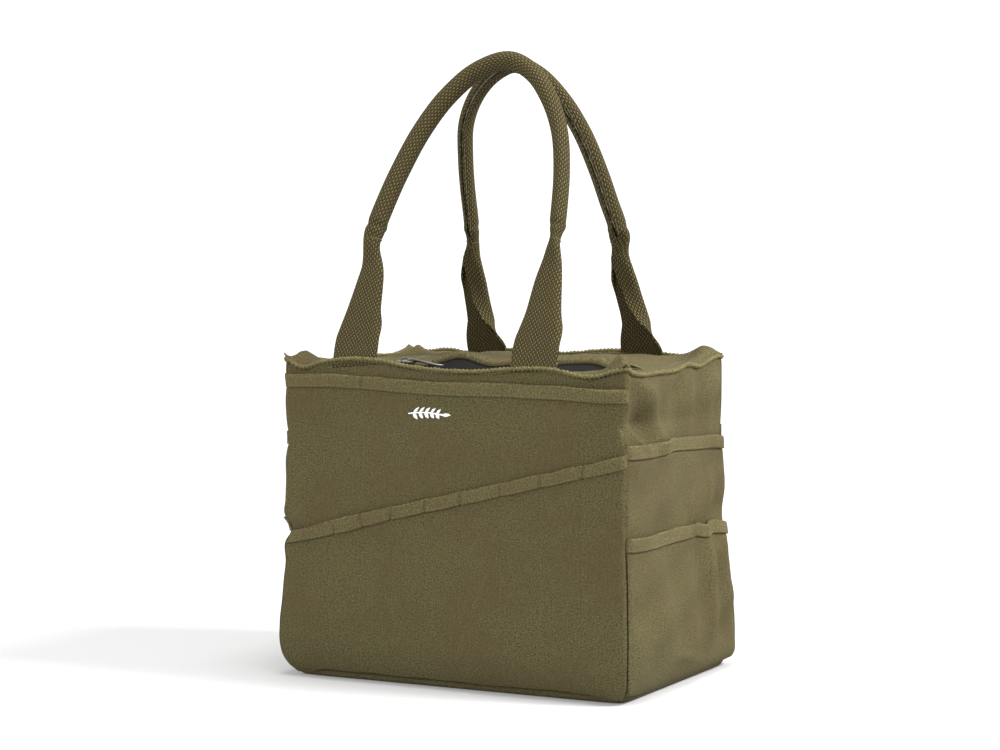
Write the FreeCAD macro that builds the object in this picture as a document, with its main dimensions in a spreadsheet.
"""Canvas garden tool bag: boxed body, outside and inside tool pockets, a zipped top and two webbing handles.

Millimetres, +Z up, +Y to the rear, origin under the middle of the base. Every piece is a named object of one
parametric document, driven by the spreadsheet "dims", and is written to parts/NODE.step.
"""

import FreeCAD, Part
import Sketcher

import math
import os

from FreeCAD import Placement, Rotation, Vector

doc = FreeCAD.newDocument("tool_bag")
pieces = []  # the objects that are written out, in the order they are made


# ---------------------------------------------------------------- driving dimensions
DIMENSIONS = [
    # the sewn box
    ("body_width", 294),       # outer face of the left panel to outer face of the right panel
    ("body_depth", 200),       # outer face of the front panel to outer face of the rear panel
    ("wall_top", 257),         # top of the four wall panels
    ("canvas", 1.4),           # thickness of the coated canvas
    ("rim_height", 7),         # how far the base panel turns up before the wall seam
    ("rim_round", 3),          # rounding under the base
    ("board_cloth", 2.5),      # thickness of the base board
    ("lining_gap", 2),         # room between canvas and lining, filled by the strap tails
    ("lining_cloth", 0.8),     # thickness of the lining
    ("edge_height", 3),        # height of the bound top edge
    # pockets
    ("pocket_slack", 4.6),     # depth of an empty pocket
    ("sleeve_slack", 10.6),    # depth of the rear sleeve
    ("pocket_floor", 6),       # underside of the outside pockets
    ("rib", 1.2),              # width of a sewn divider line
    ("overcut", 1),            # how far a cutting box runs past the face that it opens
    ("hem_height", 10),        # height of a pocket's folded hem
    ("hem_cloth", 1),          # how far a hem stands off its pocket
    ("tall_top", 250),         # top edge of the full front pocket
    ("slant_left", 121),       # top edge of the slanted front pocket, at the left
    ("slant_right", 198),      # the same edge, at the right
    ("sleeve_top", 205),       # top edge of the rear sleeve
    ("upper_top", 199),        # top edge of the upper side pockets
    ("upper_floor", 127),      # bottom seam of the upper side pockets
    ("lower_top", 124),        # top edge of the lower side pockets
    ("inner_top", 165),        # top edge of the inside pockets
    ("inner_floor", 40),       # bottom seam of the inside pockets
    ("inner_margin", 12),      # from the end walls' lining to the inside pockets
    # zipped top
    ("lip_inset", 4.8),        # from the outer face of a panel to the line its lip folds on
    ("lip_level", 258.5),      # height of that line
    ("lip_root", 1.5),         # from the fold line to where the lip's canvas is free
    ("lip_left", -64),         # left end of the free part of the lips
    ("lip_right", 92),         # right end of it
    ("lip_reach", 82),         # canvas edge of a lip, from its fold line
    ("tape_from", 74),         # edge of the zip tape that is sewn under the canvas
    ("tape_reach", 91.2),      # edge of the zip tape that carries the teeth
    ("tape_cloth", 0.7),       # thickness of the zip tape
    ("bead", 0.8),             # width of the moulded bead along the tape
    ("teeth_reach", 93.7),     # tips of the teeth
    ("teeth_height", 2.6),     # height of the teeth
    ("tooth_pitch", 3),        # from tooth to tooth
    ("tooth_width", 1.6),
    ("front_droop", 20),       # how far the front lip hangs below level, in degrees
    ("rear_droop", 4),         # the same for the rear lip
    ("end_left", -108),        # inner edge of the fixed left end of the top
    ("end_right", 127),        # inner edge of the fixed right end
    ("tape_half", 14),         # half the width of the closed zip tape
    ("stop_length", 2),        # the metal stops at both ends of the chain
    ("slider_x", -98),         # middle of the slider with the zip open
    ("slider_level", 257.35),  # middle of the chain
    ("slider_length", 16),
    ("slider_width", 11),
    ("slider_gap", 3.5),       # room for the chain between the slider's plates
    ("slider_plate", 1),
    ("slider_flange", 0.9),    # thickness of the flanges along the plates' sides
    ("flange_drop", 1),        # how far they reach in from each plate
    ("post_length", 5),        # the post that joins the plates
    ("post_width", 2.2),
    ("arch_length", 5.8),      # the arch on the upper plate that holds the pull
    ("arch_width", 2.2),
    ("arch_height", 2.7),
    ("arch_wall", 0.9),
    ("pull_length", 36),
    ("pull_width", 8),
    ("pull_metal", 1.2),       # thickness of the pull
    ("pull_lift", 0.9),        # middle of the pull above the upper plate
    ("pull_eye", 5.2),         # end of the opening that goes round the arch
    ("pull_eye_width", 3.4),
    ("pull_slot", 5),          # length of the slot at the free end
    ("pull_slot_width", 3.6),
    ("pull_border", 4),        # metal left beyond the slot
    # handles
    ("webbing_width", 40),
    ("webbing_cloth", 2),
    ("strap_tail", 32),        # length of webbing sewn inside the top seam
    ("front_strap_left", -91),
    ("front_strap_right", 71),
    ("rear_strap_left", -71),
    ("rear_strap_right", 78),
    ("hinge_level", 260),      # the handles bend along the top edge of the bag
    ("strap_free", 2),         # from that bend line to where the strap is free
    ("handle_lean", 20),       # how far the handles lean inwards, in degrees
    ("grip_start", 112),       # where the strap closes round the core, measured up the handle
    ("grip_radius", 7),
    ("core_radius", 4.8),
    ("core_fit", 0.1),         # room round the core
    ("core_inset", 4),         # from the ends of the grip to the ends of its hollow
    ("stitch_drop", 5),        # from the start of the grip down to its locking stitches
    ("thread_radius", 0.45),
]
TALL_SPLITS = (-79.5, 46)
SLANT_SPLITS = (-109, -79.5, -50, -19.5, 11, 46, 81.5, 117)
INNER_SPLITS = (-66, 0, 66)

# Middle line of each grip, up the plane of its handle: (across the bag, up the handle).
FRONT_GRIP = ((-96, 112), (-89, 145), (-67, 210), (-37, 255), (4, 276), (40, 247), (64, 199), (71, 150), (72, 112))
REAR_GRIP = ((-66, 112), (-64, 150), (-57, 209), (-36, 250), (2, 274), (36, 242), (57, 196), (70, 142), (74, 112))

sheet = doc.addObject("Spreadsheet::Sheet", "dims")


def fill_sheet():
    """Writes every driving dimension to a cell with an alias."""
    rows = list(DIMENSIONS)
    groups = (("tall_split", TALL_SPLITS), ("slant_split", SLANT_SPLITS), ("inner_split", INNER_SPLITS))
    for stem, splits in groups:
        rows += [(f"{stem}_{i}", x) for i, x in enumerate(splits, 1)]
    for row, (alias, value) in enumerate(rows, 1):
        sheet.set(f"A{row}", alias)
        sheet.set(f"B{row}", str(value))
        sheet.setAlias(f"B{row}", alias)
    doc.recompute()


fill_sheet()


def d(alias):
    """A cell's value, for the few shapes that are worked out in code."""
    return float(getattr(sheet, alias))


# ---------------------------------------------------------------- building blocks
def keep(obj, label):
    """Makes obj a piece of its own, written to parts/label.step."""
    obj.Label = label
    pieces.append(obj)
    return obj


def box(name, x, y, z):
    """A Part::Box from three (low, high) pairs of expressions."""
    solid = doc.addObject("Part::Box", name)
    for prop, axis, (low, high) in (("Length", "x", x), ("Width", "y", y), ("Height", "z", z)):
        solid.setExpression(prop, f"({high}) - ({low})")
        solid.setExpression(f"Placement.Base.{axis}", low)
    return solid


def plate(label, x, y, z):
    """A piece that is one flat cut of cloth."""
    return keep(box(label, x, y, z), label)


def cut(name, base, tools):
    """base less all of tools."""
    tool = tools[0]
    if len(tools) > 1:
        tool = doc.addObject("Part::MultiFuse", f"{name}_tools")
        tool.Shapes = tools
    result = doc.addObject("Part::Cut", f"{name}_cut")
    result.Base = base
    result.Tool = tool
    return result


def fuse(name, shapes):
    result = doc.addObject("Part::MultiFuse", f"{name}_fuse")
    result.Shapes = shapes
    return result


def polygon_sketch(body, name, plane, corners):
    """A closed sketch on one of the body's origin planes. Each corner is a pair of expressions."""
    sketch = body.newObject("Sketcher::SketchObject", name)
    support = next(f for f in body.Origin.OriginFeatures if f.Role == plane)
    sketch.AttachmentSupport = [(support, "")]
    sketch.MapMode = "FlatFace"
    flat = [Vector(10 * math.cos(2.2 * i), 10 * math.sin(2.2 * i), 0) for i in range(len(corners))]
    count = len(corners)
    for i in range(count):
        sketch.addGeometry(Part.LineSegment(flat[i], flat[(i + 1) % count]), False)
    for i in range(count):
        sketch.addConstraint(Sketcher.Constraint("Coincident", i, 2, (i + 1) % count, 1))
    for i, (across, up) in enumerate(corners):
        for kind, value in (("DistanceX", across), ("DistanceY", up)):
            number = sketch.addConstraint(Sketcher.Constraint(kind, -1, 1, i, 1, 1.0))
            sketch.setExpression(f"Constraints[{number}]", value)
    return sketch


def slab(label, corners, length):
    """A PartDesign body: an upright outline in the XZ plane, padded towards the front."""
    body = doc.addObject("PartDesign::Body", label)
    sketch = polygon_sketch(body, f"{label}_outline", "XZ_Plane", corners)
    pad = body.newObject("PartDesign::Pad", f"{label}_pad")
    pad.Profile = sketch
    pad.setExpression("Length", length)
    return body


HALF_WIDTH = "dims.body_width / 2"
HALF_DEPTH = "dims.body_depth / 2"
WALL_IN = f"({HALF_DEPTH} - dims.canvas)"            # inner face of the front and rear panels
SIDE_IN = f"({HALF_WIDTH} - dims.canvas)"            # inner face of the side panels
LINING_Y = f"({WALL_IN} - dims.lining_gap)"          # outer face of the lining, front and rear
LINING_X = f"({SIDE_IN} - dims.lining_gap)"          # the same at the sides
ROOM_Y = f"({LINING_Y} - dims.lining_cloth)"         # inner face of the lining
ROOM_X = f"({LINING_X} - dims.lining_cloth)"
FLOOR_IN = "(dims.canvas + dims.board_cloth)"        # top of the base board


def span(side, inner, outer):
    """(low, high) between two distances from the middle, on the minus or the plus side."""
    return (f"-({outer})", f"-({inner})") if side < 0 else (inner, outer)


# ---------------------------------------------------------------- body, base and lining
def make_walls():
    for side, label in ((-1, "front_panel"), (1, "rear_panel")):
        plate(label, (f"-{HALF_WIDTH}", HALF_WIDTH), span(side, WALL_IN, HALF_DEPTH),
              ("dims.rim_height", "dims.wall_top"))
    for side, label in ((-1, "left_panel"), (1, "right_panel")):
        plate(label, span(side, SIDE_IN, HALF_WIDTH), (f"-{WALL_IN}", WALL_IN),
              ("dims.rim_height", "dims.wall_top"))


def make_base():
    """The base panel is a shallow tray of canvas, rounded underneath, with a stiff board lying in it."""
    outer = box("base_outer", (f"-{HALF_WIDTH}", HALF_WIDTH), (f"-{HALF_DEPTH}", HALF_DEPTH),
                ("0", "dims.rim_height"))
    doc.recompute()
    rounded = doc.addObject("Part::Fillet", "base_rounded")
    rounded.Base = outer
    radius = d("rim_round")
    rounded.Edges = [(n, radius, radius) for n, edge in enumerate(outer.Shape.Edges, 1)
                     if edge.BoundBox.ZMax < 0.01]
    hollow = box("base_hollow", (f"-{SIDE_IN}", SIDE_IN), (f"-{WALL_IN}", WALL_IN),
                 ("dims.canvas", "dims.rim_height + dims.overcut"))
    keep(cut("base", rounded, [hollow]), "base_panel")
    plate("base_board", (f"-{SIDE_IN}", SIDE_IN), (f"-{WALL_IN}", WALL_IN), ("dims.canvas", FLOOR_IN))


def make_lining():
    top = "dims.wall_top"
    low = f"{FLOOR_IN} + dims.lining_cloth"
    for side, label in ((-1, "front_lining"), (1, "rear_lining")):
        plate(label, (f"-{LINING_X}", LINING_X), span(side, ROOM_Y, LINING_Y), (low, top))
    for side, label in ((-1, "left_lining"), (1, "right_lining")):
        plate(label, span(side, ROOM_X, LINING_X), (f"-{ROOM_Y}", ROOM_Y), (low, top))
    plate("base_lining", (f"-{LINING_X}", LINING_X), (f"-{LINING_Y}", LINING_Y), (FLOOR_IN, low))


def make_top_edges():
    """The bound edge that closes canvas, strap tails and lining together round the top."""
    rise = ("dims.wall_top", "dims.wall_top + dims.edge_height")
    for side, label in ((-1, "front_top_edge"), (1, "rear_top_edge")):
        plate(label, (f"-{HALF_WIDTH}", HALF_WIDTH), span(side, ROOM_Y, HALF_DEPTH), rise)
    for side, label in ((-1, "left_top_edge"), (1, "right_top_edge")):
        plate(label, span(side, ROOM_X, HALF_WIDTH), (f"-{ROOM_Y}", ROOM_Y), rise)


# ---------------------------------------------------------------- pockets
def cavities(name, edges, y, z):
    """One box for each compartment between the divider positions in edges."""
    made = []
    for i, (left, right) in enumerate(zip(edges, edges[1:]), 1):
        cell = (f"({left}) + dims.rib / 2", f"({right}) - dims.rib / 2")
        made.append(box(f"{name}_cell_{i}", cell, y, z))
    return made


def split_edges(stem, count, limit):
    """Divider positions from one end of a pocket to the other."""
    return [f"-({limit})", *(f"dims.{stem}_{i + 1}" for i in range(count)), limit]


def make_tall_pocket():
    """Full front pocket: three compartments, closed at the sides and bottom, open at the top."""
    skin = f"{HALF_DEPTH} + dims.pocket_slack"
    face = f"{skin} + dims.canvas"
    outer = box("tall_outer", (f"-{HALF_WIDTH}", HALF_WIDTH), span(-1, HALF_DEPTH, face),
                ("dims.pocket_floor", "dims.tall_top"))
    cells = cavities("tall", split_edges("tall_split", len(TALL_SPLITS), HALF_WIDTH),
                     span(-1, f"{HALF_DEPTH} - dims.overcut", skin),
                     ("dims.pocket_floor + dims.rib", "dims.tall_top + dims.overcut"))
    keep(cut("tall", outer, cells), "front_tall_pocket")
    plate("front_tall_pocket_hem", (f"-{HALF_WIDTH}", HALF_WIDTH), span(-1, face, f"{face} + dims.hem_cloth"),
          ("dims.tall_top - dims.hem_height", "dims.tall_top"))


def make_slanted_pocket():
    """Slanted front pocket: nine compartments sewn over the tall one, its hem rising to the right."""
    back = f"{HALF_DEPTH} + dims.pocket_slack + dims.canvas"
    skin = f"{back} + dims.pocket_slack"
    face = f"{skin} + dims.canvas"
    outer = slab("slanted_outer", [
        (f"-{HALF_WIDTH}", "dims.pocket_floor"), (HALF_WIDTH, "dims.pocket_floor"),
        (HALF_WIDTH, "dims.slant_right"), (f"-{HALF_WIDTH}", "dims.slant_left")],
        "dims.pocket_slack + dims.canvas")
    outer.setExpression("Placement.Base.y", f"-({back})")
    cells = cavities("slanted", split_edges("slant_split", len(SLANT_SPLITS), HALF_WIDTH),
                     span(-1, f"{back} - dims.overcut", skin),
                     ("dims.pocket_floor + dims.rib", "dims.slant_right + dims.overcut"))
    keep(cut("slanted", outer, cells), "front_slanted_pocket")
    hem = slab("front_slanted_pocket_hem", [
        (f"-{HALF_WIDTH}", "dims.slant_left - dims.hem_height"),
        (HALF_WIDTH, "dims.slant_right - dims.hem_height"),
        (HALF_WIDTH, "dims.slant_right"), (f"-{HALF_WIDTH}", "dims.slant_left")], "dims.hem_cloth")
    hem.setExpression("Placement.Base.y", f"-({face})")
    keep(hem, "front_slanted_pocket_hem")


def make_rear_sleeve():
    """Rear sleeve: one deep compartment over the whole rear panel."""
    skin = f"{HALF_DEPTH} + dims.sleeve_slack"
    face = f"{skin} + dims.canvas"
    outer = box("sleeve_outer", (f"-{HALF_WIDTH}", HALF_WIDTH), (HALF_DEPTH, face),
                ("dims.pocket_floor", "dims.sleeve_top"))
    cells = cavities("sleeve", [f"-{HALF_WIDTH}", HALF_WIDTH], (f"{HALF_DEPTH} - dims.overcut", skin),
                     ("dims.pocket_floor + dims.rib", "dims.sleeve_top + dims.overcut"))
    keep(cut("sleeve", outer, cells), "rear_sleeve_pocket")
    plate("rear_sleeve_pocket_hem", (f"-{HALF_WIDTH}", HALF_WIDTH), (face, f"{face} + dims.hem_cloth"),
          ("dims.sleeve_top - dims.hem_height", "dims.sleeve_top"))


def make_side_pockets():
    """An upper and a lower pocket on each end of the bag."""
    skin = f"{HALF_WIDTH} + dims.pocket_slack"
    face = f"{skin} + dims.canvas"
    depth = (f"-{HALF_DEPTH}", HALF_DEPTH)
    levels = (("upper", "dims.upper_floor", "dims.upper_top"),
              ("lower", "dims.pocket_floor", "dims.lower_top"))
    for side, end in ((-1, "left"), (1, "right")):
        for level, low, top in levels:
            label = f"{end}_{level}_pocket"
            outer = box(f"{label}_outer", span(side, HALF_WIDTH, face), depth, (low, top))
            room = box(f"{label}_room", span(side, f"{HALF_WIDTH} - dims.overcut", skin),
                       (f"-{HALF_DEPTH} + dims.rib", f"{HALF_DEPTH} - dims.rib"),
                       (f"{low} + dims.rib", f"{top} + dims.overcut"))
            keep(cut(label, outer, [room]), label)
            plate(f"{label}_hem", span(side, face, f"{face} + dims.hem_cloth"), depth,
                  (f"{top} - dims.hem_height", top))


def make_inner_pockets():
    """Rows of four pockets inside, on the front and rear lining."""
    skin = f"{ROOM_Y} - dims.pocket_slack"
    face = f"{skin} - dims.lining_cloth"
    limit = f"({ROOM_X} - dims.inner_margin)"
    for side, wall in ((-1, "front"), (1, "rear")):
        label = f"inner_{wall}_pocket"
        outer = box(f"{label}_outer", (f"-{limit}", limit), span(side, face, ROOM_Y),
                    ("dims.inner_floor", "dims.inner_top"))
        cells = cavities(label, split_edges("inner_split", len(INNER_SPLITS), limit),
                         span(side, skin, f"{ROOM_Y} + dims.overcut"),
                         ("dims.inner_floor + dims.rib", "dims.inner_top + dims.overcut"))
        keep(cut(label, outer, cells), label)
        plate(f"{label}_hem", (f"-{limit}", limit), span(side, f"{face} - dims.hem_cloth", face),
              ("dims.inner_top - dims.hem_height", "dims.inner_top"))


# ---------------------------------------------------------------- zipped top
LIP_Y = f"({HALF_DEPTH} - dims.lip_inset)"


def make_fixed_ends():
    """The parts of the top that stay still: canvas at both ends, the tails of the zip tape and the stops."""
    level = ("dims.lip_level - dims.canvas / 2", "dims.lip_level + dims.canvas / 2")
    under = ("dims.lip_level - dims.canvas / 2 - dims.tape_cloth", "dims.lip_level - dims.canvas / 2")
    depth = (f"-{ROOM_Y}", ROOM_Y)
    tape = ("-dims.tape_half", "dims.tape_half")
    plate("left_top_end", (f"-{ROOM_X}", "dims.end_left"), depth, level)
    plate("right_top_end", ("dims.end_right", ROOM_X), depth, level)
    plate("zip_tape_tail_left", (f"-{ROOM_X}", "dims.end_left"), tape, under)
    plate("zip_tape_tail_right", ("dims.end_right", ROOM_X), tape, under)
    chain = ("dims.slider_level - dims.teeth_height / 2", "dims.slider_level + dims.teeth_height / 2")
    stop_half = ("-dims.teeth_height", "dims.teeth_height")
    plate("zip_bottom_stop", ("dims.end_left", "dims.end_left + dims.stop_length"), stop_half, chain)
    plate("zip_top_stop", ("dims.end_right - dims.stop_length", "dims.end_right"), stop_half, chain)


def hinged(name, side, x, reach, lift):
    """A box on a drooping lip: x along the bag, reach from the fold line, lift above the lip's middle."""
    solid = doc.addObject("Part::Box", name)
    solid.Placement = Placement(Vector(), Rotation(Vector(1, 0, 0), 1))
    solid.setExpression("Length", f"({x[1]}) - ({x[0]})")
    solid.setExpression("Width", f"({reach[1]}) - ({reach[0]})")
    solid.setExpression("Height", f"({lift[1]}) - ({lift[0]})")
    turn = "-dims.front_droop" if side < 0 else "dims.rear_droop"
    near = f"({reach[0]})" if side < 0 else f"(-({reach[1]}))"
    fold = f"-{LIP_Y}" if side < 0 else LIP_Y
    solid.setExpression("Placement.Rotation.Angle", turn)
    solid.setExpression("Placement.Base.x", x[0])
    solid.setExpression("Placement.Base.y", f"{fold} + {near} * cos({turn}) - ({lift[0]}) * sin({turn})")
    solid.setExpression("Placement.Base.z",
                        f"dims.lip_level + {near} * sin({turn}) + ({lift[0]}) * cos({turn})")
    return solid


def make_teeth(label, side):
    """A moulded bead along the tape with a row of teeth standing from it."""
    outward = 1 if side < 0 else -1
    start = "dims.lip_left" if side < 0 else "dims.lip_left + dims.tooth_pitch / 2"
    bead_edge = "dims.tape_reach + dims.bead"
    body = doc.addObject("PartDesign::Body", label)

    def strip(name, low, high, near, far):
        corners = [(low, near), (high, near), (high, far), (low, far)]
        corners = [(a, b if outward > 0 else f"-({b})") for a, b in corners]
        sketch = polygon_sketch(body, f"{name}_outline", "XY_Plane", corners)
        pad = body.newObject("PartDesign::Pad", name)
        pad.Profile = sketch
        pad.setExpression("Length", "dims.teeth_height")
        pad.Midplane = True
        return pad

    strip(f"{label}_bead", "dims.lip_left", "dims.lip_right", "dims.tape_reach", bead_edge)
    tooth = strip(f"{label}_tooth", start, f"{start} + dims.tooth_width",
                  "dims.tape_reach", "dims.teeth_reach")
    doc.recompute()
    row = body.newObject("PartDesign::LinearPattern", f"{label}_row")
    row.Originals = [tooth]
    axis = next(f for f in body.Origin.OriginFeatures if f.Role == "X_Axis")
    row.Direction = (axis, [""])
    row.Occurrences = int((d("lip_right") - d("lip_left") - d("tooth_pitch") / 2) / d("tooth_pitch"))
    row.setExpression("Length", f"dims.tooth_pitch * {row.Occurrences - 1}")
    body.Tip = row
    lift = "(dims.slider_level - dims.lip_level)"
    turn = "-dims.front_droop" if side < 0 else "dims.rear_droop"
    fold = f"-{LIP_Y}" if side < 0 else LIP_Y
    body.Placement = Placement(Vector(), Rotation(Vector(1, 0, 0), 1))
    body.setExpression("Placement.Rotation.Angle", turn)
    body.setExpression("Placement.Base.y", f"{fold} - {lift} * sin({turn})")
    body.setExpression("Placement.Base.z", f"dims.lip_level + {lift} * cos({turn})")
    return keep(body, label)


def make_lips():
    """The two long flaps of the top, with the zip open: each a canvas strip, zip tape and teeth."""
    length = ("dims.lip_left", "dims.lip_right")
    for side, wall in ((-1, "front"), (1, "rear")):
        cloth = hinged(f"{wall}_lip", side, length, ("dims.lip_root", "dims.lip_reach"),
                       ("-dims.canvas / 2", "dims.canvas / 2"))
        keep(cloth, f"{wall}_lip")
        tape = hinged(f"{wall}_zip_tape", side, length, ("dims.tape_from", "dims.tape_reach"),
                      ("-dims.canvas / 2 - dims.tape_cloth", "-dims.canvas / 2"))
        keep(tape, f"{wall}_zip_tape")
        make_teeth(f"{wall}_zip_teeth", side)


def make_slider():
    """Zip slider: two plates joined by a post, side flanges, and an arch that holds the pull."""
    middle, half_l, half_w = "dims.slider_x", "dims.slider_length / 2", "dims.slider_width / 2"
    low, high = "dims.slider_level - dims.slider_gap / 2", "dims.slider_level + dims.slider_gap / 2"
    along = (f"{middle} - {half_l}", f"{middle} + {half_l}")
    across = (f"-{half_w}", half_w)
    solids = [
        box("slider_top", along, across, (high, f"{high} + dims.slider_plate")),
        box("slider_bottom", along, across, (f"{low} - dims.slider_plate", low)),
        box("slider_post", (f"{middle} + {half_l} - dims.post_length", f"{middle} + {half_l}"),
            ("-dims.post_width / 2", "dims.post_width / 2"), (low, high)),
    ]
    for side, name in ((-1, "a"), (1, "b")):
        edge = span(side, f"{half_w} - dims.slider_flange", half_w)
        solids.append(box(f"slider_upper_flange_{name}", along, edge, (f"{high} - dims.flange_drop", high)))
        solids.append(box(f"slider_lower_flange_{name}", along, edge, (low, f"{low} + dims.flange_drop")))
    deck = f"{high} + dims.slider_plate"
    half_arch = "dims.arch_length / 2"
    arch = box("slider_arch", (f"{middle} - {half_arch}", f"{middle} + {half_arch}"),
               ("-dims.arch_width / 2", "dims.arch_width / 2"), (deck, f"{deck} + dims.arch_height"))
    window = box("slider_window",
                 (f"{middle} - {half_arch} + dims.arch_wall", f"{middle} + {half_arch} - dims.arch_wall"),
                 ("-dims.arch_width", "dims.arch_width"),
                 (deck, f"{deck} + dims.arch_height - dims.arch_wall"))
    solids.append(cut("slider_arch", arch, [window]))
    keep(fuse("slider", solids), "zip_slider")


def make_pull():
    """Metal pull: a flat tongue whose round end bar lies under the slider's arch."""
    level = "(dims.slider_level + dims.slider_gap / 2 + dims.slider_plate + dims.pull_lift)"
    half_w, half_t = "dims.pull_width / 2", "dims.pull_metal / 2"
    through = (f"{level} - dims.pull_metal", f"{level} + dims.pull_metal")
    bar = doc.addObject("Part::Cylinder", "pull_bar")
    bar.Placement = Placement(Vector(), Rotation(Vector(1, 0, 0), -90))
    bar.setExpression("Radius", half_t)
    bar.setExpression("Height", "dims.pull_width")
    bar.setExpression("Placement.Base.x", "dims.slider_x")
    bar.setExpression("Placement.Base.y", f"-{half_w}")
    bar.setExpression("Placement.Base.z", level)
    tip = "dims.slider_x + dims.pull_length"
    tongue = box("pull_tongue", ("dims.slider_x", tip), (f"-{half_w}", half_w),
                 (f"{level} - {half_t}", f"{level} + {half_t}"))
    eye = box("pull_eye", ("dims.slider_x - dims.overcut", "dims.slider_x + dims.pull_eye"),
              ("-dims.pull_eye_width / 2", "dims.pull_eye_width / 2"), through)
    slot = box("pull_slot", (f"{tip} - dims.pull_border - dims.pull_slot", f"{tip} - dims.pull_border"),
               ("-dims.pull_slot_width / 2", "dims.pull_slot_width / 2"), through)
    keep(fuse("pull", [bar, cut("pull_tongue", tongue, [eye, slot])]), "zip_pull")


# ---------------------------------------------------------------- handles
def make_strap_tails():
    """The ends of both webbing straps, sewn flat between canvas and lining below the top seam."""
    for side, wall in ((-1, "front"), (1, "rear")):
        for end in ("left", "right"):
            middle = f"dims.{wall}_strap_{end}"
            plate(f"{wall}_strap_tail_{end}",
                  (f"{middle} - dims.webbing_width / 2", f"{middle} + dims.webbing_width / 2"),
                  span(side, f"{WALL_IN} - dims.webbing_cloth", WALL_IN),
                  ("dims.wall_top - dims.strap_tail", "dims.wall_top"))


# Sections of a leg between the bag and the grip: (share of its length, of the width, of the thickness).
LEG_STATIONS = ((0, 1, 1), (0.36, 0.92, 1.1), (0.74, 0.6, 2.6))
EDGE_ROUNDING = 0.45  # corner radius of a section, as a share of its shorter side
STITCH_STEPS = (-4.5, -1.5, 1.5, 4.5)  # across the grip, in millimetres


class HandlePlane:
    """The leaning plane of one handle: x across the bag, up along the handle from its bend line."""

    def __init__(self, side):
        lean = math.radians(d("handle_lean"))
        self.origin = Vector(0, side * d("body_depth") / 2, d("hinge_level"))
        self.up = Vector(0, -side * math.sin(lean), math.cos(lean))
        self.normal = Vector(1, 0, 0).cross(self.up)

    def point(self, across, up, off=0.0):
        return self.origin + Vector(across, 0, 0) + self.up * up + self.normal * off


def rounded_path(points):
    """Straight runs joined by tangent arcs, each as large as its two runs allow."""
    edges, last = [], points[0]
    for before, corner, after in zip(points, points[1:], points[2:]):
        back, ahead = before - corner, after - corner
        room = 0.45 * min(back.Length, ahead.Length)
        back.normalize()
        ahead.normalize()
        start, end = corner + back * room, corner + ahead * room
        half = back.getAngle(ahead) / 2
        radius = room * math.tan(half)
        inward = (back + ahead).normalize()
        middle = corner + inward * (room / math.cos(half) - radius)
        edges += [Part.makeLine(last, start), Part.Arc(start, middle, end).toShape()]
        last = end
    edges.append(Part.makeLine(last, points[-1]))
    return Part.Wire(edges)


def tube(points, radius):
    """A round bar along the rounded path through points."""
    path = rounded_path(points)
    heading = points[1] - points[0]
    ring = Part.Wire(Part.makeCircle(radius, points[0], heading))
    return path.makePipeShell([ring], True, False)


def section(plane, across, up, width, thick, heading):
    """A rounded rectangle of webbing, square to heading (a direction in the handle's plane)."""
    centre = plane.point(across, up)
    along = (Vector(heading[0], 0, 0) + plane.up * heading[1]).normalize()
    side = plane.normal.cross(along).normalize()
    radius = EDGE_ROUNDING * min(width, thick)
    edges, last = [], None
    for ss, tt in ((1, 1), (-1, 1), (-1, -1), (1, -1)):
        hub = centre + side * ss * (width / 2 - radius) + plane.normal * tt * (thick / 2 - radius)
        first, second = side * ss, plane.normal * tt
        if ss * tt < 0:
            first, second = second, first
        start, end = hub + first * radius, hub + second * radius
        middle = hub + (first + second).normalize() * radius
        if last is not None:
            edges.append(Part.makeLine(last, start))
        edges.append(Part.Arc(start, middle, end).toShape())
        last = end
    edges.append(Part.makeLine(last, edges[0].Vertexes[0].Point))
    return Part.Wire(edges)


def leg(plane, foot, grip, heading):
    """One flat leg of webbing that narrows and thickens until it closes into the grip."""
    low, high, full = d("strap_free"), d("grip_start"), 2 * d("grip_radius")
    stations = [(share, d("webbing_width") * narrowed, d("webbing_cloth") * thickened)
                for share, narrowed, thickened in LEG_STATIONS]
    wires = []
    for share, width, thick in [*stations, (1, full, full)]:
        across, up = foot + (grip - foot) * share, low + (high - low) * share
        wires.append(section(plane, across, up, width, thick, (heading[0] * share, heading[1])))
    return Part.makeLoft(wires, True, False)


def feature(label, shape):
    """A piece whose shape no single FreeCAD feature makes."""
    obj = doc.addObject("Part::Feature", label)
    obj.Shape = shape
    return keep(obj, label)


def heading(start, end):
    """Unit direction from one point of the handle's plane to another."""
    return (end[0] - start[0]) / math.dist(start, end), (end[1] - start[1]) / math.dist(start, end)


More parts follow.
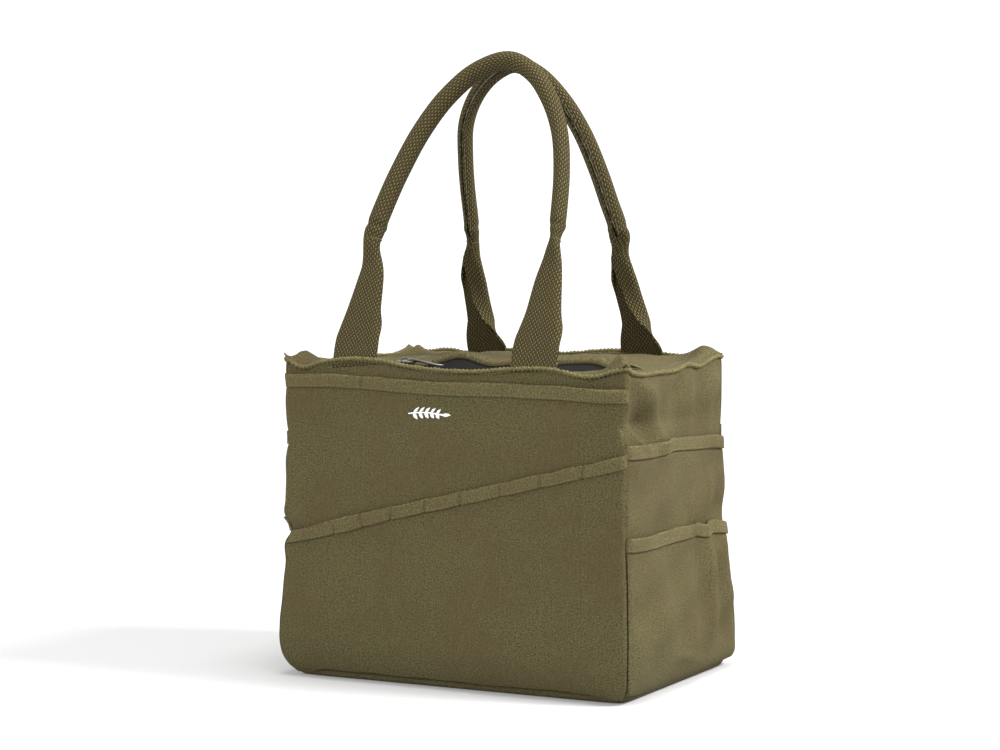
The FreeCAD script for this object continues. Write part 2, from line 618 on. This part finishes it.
def make_handle(side, wall, grip_points):
    """One handle: webbing folded and closed round a core, and the stitches that lock it where it closes."""
    plane = HandlePlane(side)
    points = [plane.point(across, up) for across, up in grip_points]

    def shortened(by):
        ends = list(points)
        ends[0] = points[0] + (points[1] - points[0]).normalize() * by
        ends[-1] = points[-1] + (points[-2] - points[-1]).normalize() * by
        return ends

    stitches = []
    for across in (grip_points[0][0], grip_points[-1][0]):
        for step in STITCH_STEPS:
            start = plane.point(across + step, d("grip_start") - d("stitch_drop"), -d("grip_radius"))
            stitches.append(Part.makeCylinder(d("thread_radius"), 2 * d("grip_radius"), start, plane.normal))

    left = leg(plane, d(f"{wall}_strap_left"), grip_points[0][0], heading(*grip_points[:2]))
    right = leg(plane, d(f"{wall}_strap_right"), grip_points[-1][0], heading(*grip_points[:-3:-1]))
    bore = tube(shortened(d("core_inset")), d("core_radius") + d("core_fit"))
    webbing = tube(points, d("grip_radius")).fuse([left, right]).cut([bore, *stitches])
    feature(f"{wall}_handle_webbing", webbing.removeSplitter())
    feature(f"{wall}_handle_core", tube(shortened(d("core_inset") + d("core_fit")), d("core_radius")))
    feature(f"{wall}_handle_stitching", Part.makeCompound(stitches))


# ---------------------------------------------------------------- the whole bag
make_walls()
make_base()
make_lining()
make_top_edges()
make_tall_pocket()
make_slanted_pocket()
make_rear_sleeve()
make_side_pockets()
make_inner_pockets()
make_fixed_ends()
make_lips()
make_slider()
make_pull()
make_strap_tails()
make_handle(-1, "front", FRONT_GRIP)
make_handle(1, "rear", REAR_GRIP)
doc.recompute()


def check_and_write():
    """Stops at any failed object or bad shape, then writes one STEP file for each piece."""
    for obj in doc.Objects:
        if "Invalid" in obj.State or "Error" in obj.State:
            raise RuntimeError(f"{obj.Name} failed: {obj.State}")
    os.makedirs("parts", exist_ok=True)
    for obj in pieces:
        shape = obj.Shape
        if shape.isNull() or not shape.isValid() or not shape.Solids or shape.Volume <= 0:
            raise RuntimeError(f"{obj.Label} has no good solid")
        shape.exportStep(os.path.join("parts", f"{obj.Label}.step"))
        print(f"{obj.Label:28s} {len(shape.Solids)} solid(s) {shape.Volume / 1000:10.3f} cm3")


check_and_write()
